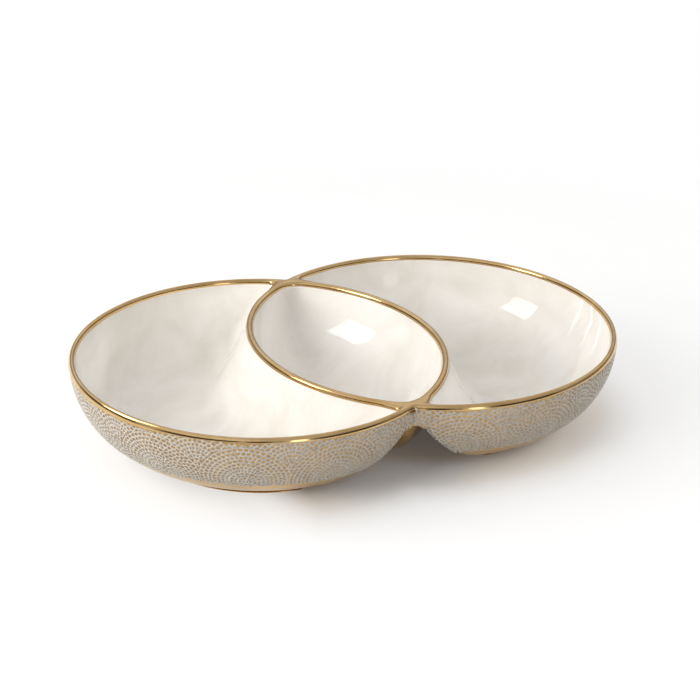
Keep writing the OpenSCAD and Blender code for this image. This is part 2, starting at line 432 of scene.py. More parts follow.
# the ivory shell's outer face and the gold layer's two faces, which hide inside the wall
crescent = {
    "shellInset": 0.8, "shellTop": 57.0, "goldTop": 60.3,
    "backInset": 1.05, "backRise": 0.7,
    "netFoot": 22.5,      # the net's lowest line: polished gold below it, and above it dull gold, darker as painted shade
    "levels": {"inside": 46, "outside": 34, "gold": 60, "back": 30},
}


def webAt(drop):
    return {"r": tips["webR"] + bowl["lean"] * drop, "y": tips["webY"],
            "soft": tips["webSoft"][0] + tips["webSoft"][1] * drop}


def crescentInside(z):
    drop = max(bowl["lipZ"] - z, 0.0)
    endR, soft = [tips[key][0] + tips[key][1] * drop for key in ("endR", "soft")]
    return crescentRing(float(wallR(z, bowl["wall"])), dividerR(z), endR, soft, webAt(drop))


def crescentOutside(z, inset):
    foldR = float(leanR(z)) - bowl["wall"] * slant
    return crescentRing(float(wallR(z, inset)), foldR + inset * tips["insetShare"],
                        tips["outEndR"], tips["outSoft"])


def groundRing(z):
    return crescentOutside(z, bowl["glaze"] if z > bowl["baseZ"] else 0.0)


# levels from high to low at even steps round a curved wall of this radius
def heights(low, high, radius, count):
    a = np.linspace(0, math.pi / 2, count)
    z = bowl["curveZ"] - radius * np.sin(a)
    return [high] + [v for v in z if low < v < high] + [low]


pieces = {}
levels = crescent["levels"]
inside = wallRings(heights(bowl["floorZ"], bowl["ivoryZ"], bowl["curveR"] - bowl["wall"], levels["inside"]),
                   crescentInside)
outside = wallRings(heights(bowl["baseZ"] + crescent["shellInset"], crescent["shellTop"],
                            bowl["curveR"] - crescent["shellInset"], levels["outside"]),
                    crescentOutside, crescent["shellInset"])
verts, faces = ringStack(inside[::-1] + outside)
pieces["left_bowl"] = makeMesh("leftBowl", verts, faces, ivoryGlaze)
pieces["right_bowl"] = makeMesh("rightBowl", mirrored(verts), faces, ivoryGlaze)
print("crescent bowls:", len(faces), "faces each")

skin = wallRings(heights(bowl["baseZ"], crescent["goldTop"], bowl["curveR"], levels["gold"]), groundRing)
back = wallRings(heights(bowl["baseZ"] + crescent["backRise"], crescent["goldTop"],
                         bowl["curveR"] - crescent["backInset"], levels["back"]),
                 crescentOutside, crescent["backInset"])
verts, faces = ringStack(back[::-1] + skin)
pieces["left_skirt"] = makeMesh("leftGround", verts, faces, goldSkirt)
pieces["right_skirt"] = makeMesh("rightGround", mirrored(verts), faces, goldSkirt)
# above the net's foot the skirts take the darker ground gold: painted shade
for name in ("left_skirt", "right_skirt"):
    refinish(pieces[name], goldGround, above=crescent["netFoot"])
print("gold grounds:", len(faces), "faces each")

# the almond dish; its tips grow sharper below the lip
dish = {
    "outR": 52.1, "floorZ": 12.5, "glazeIn": 0.5, "topZ": 57.0,
    "endR": (8.0, 12.0), "soft": (5.0, 7.0), "fade": 6,  # (low down, more at the lip), over this many mm
    "levels": {"inside": 46, "outside": 34, "gold": 50},
}
dishRingR = bowl["rimR"] - dish["outR"]
dishBase = dish["floorZ"] - bowl["wall"]


def dishLevel(z, inset):
    outR = dishRingR + math.sqrt(max((dish["outR"] - inset) ** 2 - max(bowl["curveZ"] - z, 0) ** 2, 0))
    atLip = math.exp(-max(bowl["lipZ"] - z, 0.0) / dish["fade"])
    return lensRing(outR, *[dish[key][0] + dish[key][1] * atLip for key in ("endR", "soft")])


levels = dish["levels"]
inside = wallRings(heights(dish["floorZ"], bowl["ivoryZ"], dish["outR"] - bowl["wall"], levels["inside"]),
                   dishLevel, bowl["wall"])
outside = wallRings(heights(dishBase + dish["glazeIn"], dish["topZ"], dish["outR"] - dish["glazeIn"],
                            levels["outside"]), dishLevel, dish["glazeIn"])
verts, faces = ringStack(inside[::-1] + outside)
pieces["centre_dish"] = makeMesh("centreDish", verts, faces, ivoryGlaze)
skin = wallRings(heights(dishBase, dish["topZ"], dish["outR"], levels["gold"]), dishLevel, 0.0)
verts, faces = ringStack(outside[::-1] + skin)
# the dish's underside has the darker gold: painted shade, for a face turned down over the shadowed floor
pieces["dish_underside"] = makeMesh("dishUnderside", verts, faces, goldUnder)
print("dish made")

foot = {
    "r": 81.0, "farR": 148.75, "tip": 6.0, "width": 5.0, "round": 1.2,
    "top": 4.6,                  # hidden in the skirt
    "cove": 0.8, "coveZ": 1.25,  # a shallow cove above the bead that it stands on
    "bead": [(0.5, 1.0), (0.15, 0.85), (0.0, 0.55), (0.1, 0.2), (0.4, 0.0)],
}
# (inset, height): down the cove, round the bead, along the ground and up the inner side
section = [(foot["cove"], foot["top"]), (foot["cove"], foot["coveZ"])] + foot["bead"]
for a in np.linspace(0, math.pi / 2, 6):
    section.append((foot["width"] - foot["round"] * (1 - math.sin(a)), foot["round"] * (1 - math.cos(a))))
section.append((foot["width"], foot["top"]))
loops = []
for inset, z in section:
    flat, spine = crescentRing(foot["r"] - inset, foot["farR"] + inset, foot["tip"], foot["tip"])
    loops.append(place(flat, z))
verts, faces = ringStack(loops + loops[:1])
pieces["left_foot"] = makeMesh("leftFoot", verts, faces, goldFoot)
pieces["right_foot"] = makeMesh("rightFoot", mirrored(verts), faces, goldFoot)
for name in ("left_foot", "right_foot"):  # the bead itself is polished, while the cove above it keeps the darker foot gold, painted shade under the wall's overhang
    refinish(pieces[name], goldLustre, below=foot["coveZ"])
print("feet:", len(faces), "faces each")

# the lips are one bead that runs round both rims, along both dividers and over the webs
lip = {
    "edgeZ": 59.8,         # where the bead's curve springs from inside
    "springZ": 58.2,       # and outside
    "crown": 2.1, "flatter": 0.35,  # radius of that curve, and how it grows where the bead is wider
    "rows": 14,
    "goldZ": 59.5, "wander": 0.3, "wanderStep": 27.0,  # lower edge of the gold outside
    "farDrop": 1.2, "farFrom": 175, "farOver": 25,     # it is lower at the far ends
    "proud": 0.3,          # the bead stands clear of the net under it
    "notch": 3.0,          # radius of the bead's outline where the two rims cross
    "dishTip": (20.0, 12.0),  # radius of the dish's tips at the lip, and how softly they blend
    "bow": 2.5,            # how far a divider's crown stands off the dish's wall
    "joinShare": 40,       # how soon it gets there from the crossing
    "endShare": 0.3,       # how much closer the points lie near the crossings
    "edgePoints": (400, 120), "rimPoints": 420, "dividerPoints": 300,
}
edgeL = crescentRing(bowl["rimR"] - bowl["wall"], bowl["dividerR"], tips["endR"][0], tips["soft"][0],
                     webAt(0.0), *lip["edgePoints"])[0]
edgeC = lensRing(bowl["rimR"] - bowl["wall"], *lip["dishTip"], *lip["edgePoints"])[0]
edgeR = edgeL * [-1, 1]


def nearestOn(curve, pts):
    ab = np.roll(curve, -1, 0) - curve
    out = np.empty_like(pts)
    for i, p in enumerate(pts):
        share = np.clip(((p - curve) * ab).sum(1) / np.maximum((ab * ab).sum(1), 1e-12), 0, 1)
        q = curve + ab * share[:, None]
        out[i] = q[((q - p) ** 2).sum(1).argmin()]
    return out


midR = bowl["rimR"] - bowl["wall"] / 2
crossY = math.sqrt(midR ** 2 - bowl["halfGap"] ** 2)


# the crown of a lip, from the front crossing to the back one, round the left side of a centre
def midline(centre, radius, count):
    a0 = math.atan2(-crossY, -centre[0])
    a1 = math.atan2(crossY, -centre[0]) - 2 * math.pi
    t = np.linspace(-1, 1, count)
    s = ((1 - lip["endShare"]) * t + lip["endShare"] * np.sin(t * math.pi / 2) + 1) / 2
    a = a0 + (a1 - a0) * s
    r = radius + (midR - radius) * np.exp(-np.minimum(s, 1 - s) * lip["joinShare"])
    return np.stack([centre[0] + r * np.cos(a), centre[1] + r * np.sin(a)], -1)


# the lip's outer outline, rounded where the two rims cross
def outlinePoint(pts):
    n = lip["notch"]
    yN = math.sqrt((bowl["rimR"] + n) ** 2 - bowl["halfGap"] ** 2)
    out = leftC + unit(pts - leftC) * bowl["rimR"]
    for side in (-1, 1):
        c = np.array([0.0, side * yN])
        touch = leftC + (c - leftC) / np.linalg.norm(c - leftC) * bowl["rimR"]
        hit = (out[:, 1] * side > 0) & (out[:, 0] > touch[0])
        out[hit] = (c + unit(pts - c) * n)[hit]
    return out


# rows from the wall's gold edge up and over to the midline; the curve of the bead springs from
# zEdge, and where the gold starts higher than that, it starts part of the way round
def beadRows(mid, edge, zEdge, zStart):
    h = np.linalg.norm(mid - edge, axis=1)
    v = bowl["topZ"] - zEdge
    rho = np.minimum(h, lip["crown"] + lip["flatter"] * np.maximum(h - lip["crown"], 0))
    first = np.arcsin(np.clip((zStart - zEdge) / v, 0, 1)) + 0 * h
    rows = []
    for s in np.linspace(0, 1, lip["rows"]):
        a = first + (math.pi / 2 - first) * s
        x = rho * (1 - np.cos(a)) + (h - rho) * s ** 3
        z = zEdge + v * np.sqrt(np.maximum(1 - (1 - np.minimum(x / rho, 1)) ** 2, 0))
        rows.append(place(edge + (mid - edge) * (x / h)[:, None], z))
    return rows


lipVerts, lipFaces = [], []


def addStrip(rows):
    offset, n = sum(len(v) for v in lipVerts), len(rows[0])
    lipVerts.extend(rows)
    for k in range(len(rows) - 1):
        low, high = offset + k * n, offset + (k + 1) * n
        lipFaces.extend((low + i, low + i + 1, high + i + 1, high + i) for i in range(n - 1))


midOut = midline(leftC, midR, lip["rimPoints"])
midDiv = midline(rightC, bowl["rimR"] - bowl["wall"] + lip["bow"], lip["dividerPoints"])
midOutR, midDivR = midOut * [-1, 1], midDiv * [-1, 1]
for mid, curve in ((midOut, edgeL), (midDiv, edgeL), (midDiv, edgeC),
                   (midDivR, edgeC), (midDivR, edgeR), (midOutR, edgeR)):
    edge = nearestOn(curve, mid)
    addStrip([place(mid, bowl["lipZ"]), place(edge, bowl["lipZ"])] + beadRows(mid, edge, lip["edgeZ"], bowl["lipZ"]))
outline = outlinePoint(midOut)
outline = outline + unit(outline - midOut) * lip["proud"]
# brushed by hand, the gold reaches lower round the far ends and wanders a little elsewhere
about = np.unwrap(np.arctan2(midOut[:, 1], midOut[:, 0] - leftC[0]))
about = (about - about[0]) * bowl["rimR"]
far = (np.clip((-about - lip["farFrom"]) / lip["farOver"], 0, 1)
       * np.clip((about - about[-1] - lip["farFrom"]) / lip["farOver"], 0, 1))
goldEdge = lip["goldZ"] + lip["wander"] * np.sin(about / lip["wanderStep"]) - lip["farDrop"] * far
for side in (1, -1):
    mid, edge = midOut * [side, 1], outline * [side, 1]
    addStrip([place(mid, goldEdge)] + beadRows(mid, edge, lip["springZ"], goldEdge))
pieces["lips"] = makeMesh("goldLips", np.concatenate(lipVerts), lipFaces, goldLustre)
print("lips:", len(lipFaces), "faces")

# under the lip the two walls run into each other; lower down each ends in its own rounded edge
notch = {
    "low": 48.4, "fall": 0.09,   # where the shared wall ends, and how its edge falls to the sides
    "soft": (3.0, 9.0),          # how softly the walls meet, at the lip and at the low edge
    "blend": 3.0, "edgeSoft": 7.0,  # mm below it to the walls' own edges, and how round these are
    "half": 8.0, "top": 58.0, "deep": 7.0,  # half its width, its hidden top and how far in it reaches
    "sides": (5, 3, 0.25),       # from 5 mm out, over 3 mm, the wall sinks by this much more
    "flatFrom": 6,               # the edge falls no further from here out
    "underside": ((-0.35, 0.25), (-0.5, 0.8), (-0.4, 1.6), (0.6, 7.0)),  # (rise, inward)
    "columns": 41, "rows": 12, "startY": -90, "reach": 40.0,
}

# overlapping fans laid out on the unrolled wall: s along the rim, t down the wall, in mm
net = {
    "fans": 13,            # round each bowl
    "ringStep": 2.9,
    "rings": 11,
    "line": 1.18,
    "rowTop": 4.9, "rowStep": 15.3, "rows": 3,
    "drawn": (-9, 3),      # the places in a row that can reach the left bowl's wall
    "highT": 0.5, "lowT": 42.0,
    "sink": 0.6,           # how far a ridge reaches below the wall's true face
    "step": 1.2, "leastSteps": 12,  # length of one piece of a ring, and the fewest in a ring
    "leastRun": 4,         # a shorter run of a ring isn't drawn
    "under": 0.45,         # share of a line that a ring runs on under the fan in front of it
    "phase": {"left": 5.3, "right": 25.0},
    # ticks round a full ring, by the radius of the gap they cross
    "ticks": [(24.0, 52), (11.5, 36), (5.0, 18), (0.0, 8)],
    # how far each ring of ticks is turned against the next, as shares of a cell, from the outside in
    "turnShares": (0, 0.5, 0, 0, 0.5, 0, 0, 0, 0, 0.5),
    "tickMargin": 0.8, "tickClear": 0.35,  # from the net's border, and from the fan in front
    "topMargin": 1.4,      # at the top the border's margin is this much wider
    "nearby": 2.2,         # fans further apart than this many radii don't meet
}
net["pitch"] = 2 * math.pi * bowl["rimR"] / net["fans"]
net["fanR"] = net["ringStep"] * net["rings"]
netEdge = net["fanR"] - net["line"] / 2


def joined(p, wallLine, z):
    soft = np.interp(z, [notch["low"], bowl["lipZ"]], notch["soft"][::-1])
    return smoothMin(dist(p, leftC) - wallLine, dist(p, rightC) - wallLine, soft)


def foldLine(z):
    return bowl["dividerR"] + bowl["lean"] * np.maximum(bowl["lipZ"] - z, 0) - bowl["wall"] * slant


# a place on the left bowl's outer wall, raised by out; it follows the rounded edge at the notch
def wallPoint(s, t, out):
    tilt = t / bowl["curveR"]
    z0 = bowl["curveZ"] - bowl["curveR"] * np.sin(tilt)
    z = bowl["curveZ"] - (bowl["curveR"] + out) * np.sin(tilt)
    turn = s / bowl["rimR"] - math.pi / 2
    wallLine = ringR + bowl["curveR"] * np.cos(tilt)
    farLine = foldLine(z0)
    level = out * np.cos(tilt)
    share = np.clip((z0 - notch["low"]) / notch["blend"] + 1, 0, 1)

    def field(p):
        apart = smoothMax(dist(p, leftC) - wallLine, farLine - dist(p, rightC), notch["edgeSoft"])
        return apart * (1 - share) + joined(p, wallLine, z0) * share - level

    flat = leftC + np.stack([np.cos(turn), np.sin(turn)], -1) * wallLine[:, None]
    eps = 0.001
    for step in range(8):
        f = field(flat)
        slope = np.stack([field(flat + [eps, 0]) - f, field(flat + [0, eps]) - f], -1) / eps
        flat = flat - slope * (f / (slope ** 2).sum(1))[:, None]
    return place(flat, z)


# whether a place is on the left bowl's share of the net, this far from its border
def onWall(s, t, margin=0.0):
    tilt = t / bowl["curveR"]
    z = bowl["curveZ"] - bowl["curveR"] * np.sin(tilt)
    r = ringR + bowl["curveR"] * np.cos(tilt)
    turn = s / bowl["rimR"] - math.pi / 2
    x = leftC[0] + r * np.cos(turn)
    y = r * np.sin(turn)
    far = np.hypot(x - rightC[0], y) - foldLine(z)
    edge = (far > margin) | (z > notch["low"] - notch["fall"] * x ** 2 + margin)
    onBowl = (x <= 0) & (np.abs(turn + math.pi) < math.pi)
    return (t > net["highT"] + net["topMargin"] * margin) & (t < net["lowT"]) & edge & onBowl


# the fans' centres, each fan in front of those before it: row after row down, and along each row
def fanList(phase):
    out = []
    for row in range(-1, net["rows"]):
        shift = phase + (net["pitch"] / 2 if row % 2 else 0)
        out += [(shift + k * net["pitch"], net["rowTop"] + net["rowStep"] * row) for k in range(*net["drawn"])]
    return out


def hidden(s, t, fans, me, reach):
    out = np.zeros(len(s), bool)
    for fs, ft in fans[me + 1:]:
        if abs(fs - fans[me][0]) < net["nearby"] * net["fanR"]:
            out |= np.hypot(s - fs, t - ft) < reach
    return out


# a ridge's section, as (share of a line across, height)
ridge = [(-0.5, -net["sink"]), (-0.47, -0.16), (-0.24, 0.0), (0.24, 0.0), (0.47, -0.16), (0.5, -net["sink"])]


def ringRidges(fans):
    verts, faces, count = [], [], 0
    m = len(ridge)
    for me, (fs, ft) in enumerate(fans):
        for k in range(net["rings"]):
            r = netEdge - k * net["ringStep"]
            n = max(net["leastSteps"], int(math.ceil(2 * math.pi * r / net["step"])))
            a = np.linspace(0, 2 * math.pi, n, endpoint=False)
            s, t = fs + r * np.sin(a), ft - r * np.cos(a)
            seen = onWall(s, t) & ~hidden(s, t, fans, me, net["fanR"] - net["line"] * net["under"])
            if not seen.any():
                continue
            whole = seen.all()
            first = 0 if whole else int(np.argmax(~seen))
            shown, run = [], []
            for i in (np.arange(n) + first) % n:
                if seen[i]:
                    run.append(i)
                elif run:
                    shown.append(run)
                    run = []
            if run:
                shown.append(run)
            for run in shown:
                q = len(run)
                if q < net["leastRun"]:
                    continue
                ra = a[run]
                rows = []
                for across, out in ridge:
                    rr = r + across * net["line"]
                    rows.append(np.stack([fs + rr * np.sin(ra), ft - rr * np.cos(ra), np.full(q, out)], -1))
                verts.append(np.stack(rows, 1).reshape(-1, 3))
                i = count + np.arange(q if whole else q - 1) * m
                j = count + (np.arange(len(i)) + 1) % q * m
                for c in range(m):
                    d = (c + 1) % m
                    faces.append(np.stack([i + c, j + c, j + d, i + d], -1))
                if not whole:
                    for end in (0, q - 1):
                        f = count + end * m + np.arange(m)
                        faces.append(np.array([[f[0], f[1], f[4], f[5]], [f[1], f[2], f[3], f[4]]]))
                count += q * m
    flat = np.concatenate(verts)
    return wallPoint(flat[:, 0], flat[:, 1], flat[:, 2]), np.concatenate(faces)


# where each tick stands, which way it points and which way is up from the wall
def tickPlaces(fans):
    found = []
    for me, (fs, ft) in enumerate(fans):
        rings = []
        for k in range(net["rings"] - 1):
            r = netEdge - (k + 0.5) * net["ringStep"]
            n = next(c for low, c in net["ticks"] if r > low)
            rings.append((r, (np.arange(n) + net["turnShares"][k]) * 2 * math.pi / n))
        for r, a in rings + [(0.0, np.zeros(1))]:  # the last one stands in the fan's eye
            s, t = fs + r * np.sin(a), ft - r * np.cos(a)
            seen = onWall(s, t, net["tickMargin"]) & ~hidden(s, t, fans, me, net["fanR"] + net["tickClear"])
            found.append(np.stack([s, t, np.sin(a), -np.cos(a)], -1)[seen])
    s, t, ds, dt = np.concatenate(found).T
    zero = np.zeros(len(s))
    eps = 0.4
    here = wallPoint(s, t, zero)
    ahead = wallPoint(s + eps * ds, t + eps * dt, zero)
    out = wallPoint(s, t, zero + eps)
    return here, unit(ahead - here), unit(out - here)


# one tick of unit width, length and depth, as (place along it, half width): wide at both ends,
# so a cell between ticks is rounded
tick = {
    "stations": [(-0.50, 1.15), (-0.28, 0.92), (-0.15, 0.58), (0.15, 0.58), (0.28, 0.92), (0.50, 1.15)],
    "top": 0.86, "topZ": -0.08, "footZ": -1.0,
    "jitter": {"Min": (0.9, 1.0, 0.9), "Max": (1.12, 1.0, 1.0), "Seed": 7},
}


def tickShape():
    verts, faces = [], []
    for y, half in tick["stations"]:
        top = half * tick["top"]
        for x, z in ((-half, "footZ"), (-top, "topZ"), (top, "topZ"), (half, "footZ")):
            verts.append((x, y, tick[z]))
    last = len(verts) - 4
    for k in range(0, last, 4):
        for c in range(4):
            d = (c + 1) % 4
            faces.append((k + c, k + d, k + 4 + d, k + 4 + c))
    faces += [(3, 2, 1, 0), (last, last + 1, last + 2, last + 3)]
    mesh = bpy.data.meshes.new("tick")
    mesh.from_pydata([tuple(c * mm for c in v) for v in verts], [], faces)
    return bpy.data.objects.new("tick", mesh)


tickSizes = {"Tick width": net["line"], "Tick length": net["ringStep"], "Tick depth": net["sink"]}


def tickTree(shape):
    tree = bpy.data.node_groups.new("ticks", "GeometryNodeTree")
    tree.interface.new_socket("Places", in_out="INPUT", socket_type="NodeSocketGeometry")
    sockets = {}
    for name, value in tickSizes.items():
        socket = tree.interface.new_socket(name, in_out="INPUT", socket_type="NodeSocketFloat")
        socket.default_value = value
        sockets[name] = socket.identifier
    tree.interface.new_socket("Ticks", in_out="OUTPUT", socket_type="NodeSocketGeometry")
    source = addNode(tree, "NodeGroupInput")
    along = addNode(tree, "GeometryNodeInputNamedAttribute", {"data_type": "FLOAT_VECTOR"}, {"Name": "along"})
    up = addNode(tree, "GeometryNodeInputNamedAttribute", {"data_type": "FLOAT_VECTOR"}, {"Name": "up"})
    turn = addNode(tree, "FunctionNodeAxesToRotation", {"primary_axis": "Z", "secondary_axis": "Y"}, {},
                   {"Primary Axis": up.outputs["Attribute"], "Secondary Axis": along.outputs["Attribute"]})
    size = addNode(tree, "ShaderNodeCombineXYZ", {}, {},
                   {axis: source.outputs[name] for axis, name in zip("XYZ", tickSizes)})
    jitter = addNode(tree, "FunctionNodeRandomValue", {"data_type": "FLOAT_VECTOR"}, tick["jitter"])
    sized = addNode(tree, "ShaderNodeVectorMath", {"operation": "MULTIPLY"}, {},
                    {0: size.outputs[0], 1: jitter.outputs[0]})
    info = addNode(tree, "GeometryNodeObjectInfo", {}, {"Object": shape})
    points = addNode(tree, "GeometryNodeMeshToPoints", {}, {}, {"Mesh": source.outputs["Places"]})
    many = addNode(tree, "GeometryNodeInstanceOnPoints", {}, {},
                   {"Points": points.outputs[0], "Instance": info.outputs["Geometry"],
                    "Rotation": turn.outputs[0], "Scale": sized.outputs[0]})
    real = addNode(tree, "GeometryNodeRealizeInstances", {}, {}, {"Geometry": many.outputs[0]})
    dressed = addNode(tree, "GeometryNodeSetMaterial", {}, {"Material": netEnamel}, {"Geometry": real.outputs[0]})
    addNode(tree, "NodeGroupOutput", {}, {}, {"Ticks": dressed.outputs[0]})
    return tree, sockets


# the short wall under the lip where the two bowls meet, at the front
def notchShape():
    xs = np.linspace(-notch["half"], notch["half"], notch["columns"])
    away = np.abs(xs)
    outwards = np.zeros((len(xs), 2)) + [0, -1]
    sideFrom, sideOver, sideSink = notch["sides"]
    sink = -bowl["glaze"] - sideSink * np.clip((away - sideFrom) / sideOver, 0, 1)

    def rowAt(z, inward):
        z = z + 0 * xs
        line = ringR + np.sqrt(bowl["curveR"] ** 2 - (bowl["curveZ"] - z) ** 2)

        def field(p):
            return joined(p, line, z) - sink

        start = np.stack([xs, notch["startY"] + 0 * xs], -1)
        flat = rootAlong(field, start, outwards, notch["reach"])
        return place(flat + np.stack([0 * xs, inward + 0 * xs], -1), z)

    low = notch["low"] - notch["fall"] * np.minimum(away, notch["flatFrom"]) ** 2
    loops = [rowAt(notch["top"] + (low - notch["top"]) * v, 0.0) for v in np.linspace(0, 1, notch["rows"])]
    loops += [rowAt(low + rise, inward) for rise, inward in notch["underside"]]
    loops.append(rowAt(notch["top"], notch["deep"]))
    n = len(xs)
    faces = []
    for k in range(len(loops)):
        a, b = k * n, (k + 1) % len(loops) * n
        faces += [(a + i, a + i + 1, b + i + 1, b + i) for i in range(n - 1)]
    faces.append(tuple(k * n for k in range(len(loops))))
    faces.append(tuple(k * n + n - 1 for k in reversed(range(len(loops)))))
    return np.concatenate(loops), faces


verts, faces = notchShape()
backFaces = [tuple(i + len(verts) for i in f[::-1]) for f in faces]
# the notches take the darker ground gold: painted shade
pieces["notches"] = makeMesh("notches", np.concatenate([verts, verts * [1, -1, 1]]), faces + backFaces, goldGround)
print("notches:", len(faces), "faces each")

tree, sockets = tickTree(tickShape())
for side, sign in (("left", 1), ("right", -1)):
    # the right bowl is drawn as a left one and mirrored, so its phase changes sign
    fans = fanList(net["phase"][side] * sign)
    verts, faces = ringRidges(fans)
    here, along, up = tickPlaces(fans)
    flip = np.array([sign, 1, 1])
    cloud = bpy.data.meshes.new("places")
    cloud.from_pydata([tuple(v) for v in here * flip * mm], [], [])
    for name, data in (("along", along * flip), ("up", up * flip)):
        attribute = cloud.attributes.new(name, "FLOAT_VECTOR", "POINT")
        attribute.data.foreach_set("vector", data.astype(np.float32).ravel())
    holder = bpy.data.objects.new("places", cloud)
    bpy.context.scene.collection.objects.link(holder)
    modifier = holder.modifiers.new("ticks", "NODES")
    modifier.node_group = tree
    for name, value in tickSizes.items():
        modifier[sockets[name]] = value
    ready = holder.evaluated_get(bpy.context.evaluated_depsgraph_get())
    ticks = bpy.data.meshes.new_from_object(ready)
    bpy.data.objects.remove(holder)
    co = np.empty(len(ticks.vertices) * 3)
    ticks.vertices.foreach_get("co", co)
    faces = faces if sign > 0 else faces[:, ::-1]
    tickFaces = [tuple(i + len(verts) for i in p.vertices) for p in ticks.polygons]
    pieces[side + "_band"] = makeMesh(side + "Net", np.concatenate([verts * flip, co.reshape(-1, 3) / mm]),
                                      faces.tolist() + tickFaces, netEnamel, 0.0001)
    print("net", side + ":", len(faces) + len(tickFaces), "faces,", len(here), "ticks")

# a white paper floor, which keeps the bowl's soft shadow; distances in metres
stage = {
    "half": 8.0, "tones": ((0.0, "#f1f0ee"), (1.0, "#f5f4f2")),
    "near": 0.34, "far": 0.62, "least": 0.055,            # it fades to plain white from near to far
    "cast": "#f2dfc6", "castFrom": 0.097, "castTo": 0.077,  # painted warm shade from the gold above it
    "shadeIn": 0.108, "shadeOut": 0.158, "lift": 0.46,    # painted light: the floor's glow grows with distance from the bowls and lightens their shade
    "poolFrom": -0.055, "poolTo": -0.098, "poolLift": 0.66,  # and a painted pool of light on the window's side
}
floorPaper, t = newMaterial("paperSweep")
where = addNode(t, "ShaderNodeTexCoord")
spot = where.outputs["Object"]
grain = addNode(t, "ShaderNodeTexNoise", {}, {"Scale": 30.0, "Detail": 2.0}, {"Vector": spot})
ramp = addNode(t, "ShaderNodeValToRGB", {}, {}, {"Fac": grain.outputs["Fac"]})
setTones(ramp, stage["tones"])
apart = [addNode(t, "ShaderNodeVectorMath", {"operation": "DISTANCE"}, {1: (x * mm, 0, 0)}, {0: spot})
         for x in (-bowl["halfGap"], bowl["halfGap"])]
nearer = addNode(t, "ShaderNodeMath", {"operation": "MINIMUM"}, {},
                 {0: apart[0].outputs["Value"], 1: apart[1].outputs["Value"]})
# painted warm shade on the floor near the bowls, as if bounced from the gold
cast = addNode(t, "ShaderNodeMapRange", eased, {"From Min": stage["castFrom"], "From Max": stage["castTo"]},
               {"Value": nearer.outputs[0]})
paper = addNode(t, "ShaderNodeMix", multiplied, {"B": tone(stage["cast"])},
                {"Factor": cast.outputs["Result"], "A": ramp.outputs["Color"]})
diffuse = addNode(t, "ShaderNodeBsdfDiffuse", {}, {}, {"Color": paper.outputs["Result"]})
glow = addNode(t, "ShaderNodeEmission", {}, {"Color": tone("#ffffff"), "Strength": 1.0})
away = addNode(t, "ShaderNodeVectorMath", {"operation": "LENGTH"}, {}, {0: spot})
fade = addNode(t, "ShaderNodeMapRange", eased,
               {"From Min": stage["near"], "From Max": stage["far"], "To Min": stage["least"], "To Max": 1.0},
               {"Value": away.outputs["Value"]})
# painted light: a glow that lightens the shadow away from the bowls and on the window's side
opening = addNode(t, "ShaderNodeMapRange", eased,
                  {"From Min": stage["shadeIn"], "From Max": stage["shadeOut"], "To Max": stage["lift"]},
                  {"Value": nearer.outputs[0]})
sides = addNode(t, "ShaderNodeSeparateXYZ", {}, {}, {0: spot})
pool = addNode(t, "ShaderNodeMapRange", eased,
               {"From Min": stage["poolFrom"], "From Max": stage["poolTo"], "To Max": stage["poolLift"]},
               {"Value": sides.outputs["X"]})
lit = addNode(t, "ShaderNodeMath", {"operation": "MAXIMUM"}, {},
              {0: opening.outputs["Result"], 1: pool.outputs["Result"]})
white = addNode(t, "ShaderNodeMath", {"operation": "MAXIMUM"}, {}, {0: lit.outputs[0], 1: fade.outputs["Result"]})
ray = addNode(t, "ShaderNodeLightPath")
both = addNode(t, "ShaderNodeMath", {"operation": "MAXIMUM"}, {},
               {0: ray.outputs["Is Camera Ray"], 1: ray.outputs["Is Glossy Ray"]})
share = addNode(t, "ShaderNodeMath", {"operation": "MULTIPLY"}, {}, {0: both.outputs[0], 1: white.outputs[0]})
mix = addNode(t, "ShaderNodeMixShader", {}, {}, {0: share.outputs[0], 1: diffuse.outputs[0], 2: glow.outputs[0]})
addNode(t, "ShaderNodeOutputMaterial", {}, {}, {"Surface": mix.outputs[0]})
half = stage["half"]
floorMesh = bpy.data.meshes.new("floor")
floorMesh.from_pydata([(-half, -half, 0), (half, -half, 0), (half, half, 0), (-half, half, 0)], [], [(0, 1, 2, 3)])
floorMesh.materials.append(floorPaper)
floor = bpy.data.objects.new("floor", floorMesh)
bpy.context.scene.collection.objects.link(floor)
print("floor made")

# a white room: brightest behind the bowl, dim low down on the camera's side; Y and Z are those
# of a direction of length 1
room = {
    "colour": "#f6f7f9", "behind": 0.93, "around": 0.60, "aroundY": 0.1, "behindY": 0.7,
    "dim": 0.12, "dimZ": (0.04, 0.40), "dimY": (0.2, -0.5),
}
# what polished gold sees of the studio: a bright wall on the left, and just above the table a
# row of dark flags with gaps between them, as (compass degrees from straight ahead, brightness)
flags = {
    "low": 0.27, "high": 0.46, "left": 0.95, "leftFrom": -0.1, "leftTo": -0.6,
    "row": [(-150, 0.4), (-138, 0.05), (-101, 0.05), (-97, 0.6), (-86, 0.6), (-80, 0.06), (-36.5, 0.05),
            (-35, 0.7), (-33.5, 0.7), (-31.5, 0.03), (-19, 0.03), (-15, 0.35), (-7, 0.35), (-5.5, 2.6),
            (3.5, 2.6), (5, 0.35), (9, 0.35), (11, 0.05), (50, 0.05), (58, 0.28), (80, 0.22), (140, 0.4)],
}
world = bpy.data.worlds.new("studio")
bpy.context.scene.world = world
world.use_nodes = True
t = world.node_tree
t.nodes.clear()
where = addNode(t, "ShaderNodeTexCoord")
parts = addNode(t, "ShaderNodeSeparateXYZ", {}, {}, {0: where.outputs["Generated"]})
rise = addNode(t, "ShaderNodeMapRange", eased,
               {"From Min": room["dimZ"][0], "From Max": room["dimZ"][1], "To Min": 1.0, "To Max": 0.0},
               {"Value": parts.outputs["Z"]})
front = addNode(t, "ShaderNodeMapRange", eased,
                {"From Min": room["dimY"][0], "From Max": room["dimY"][1], "To Min": 0.0, "To Max": 1.0},
                {"Value": parts.outputs["Y"]})
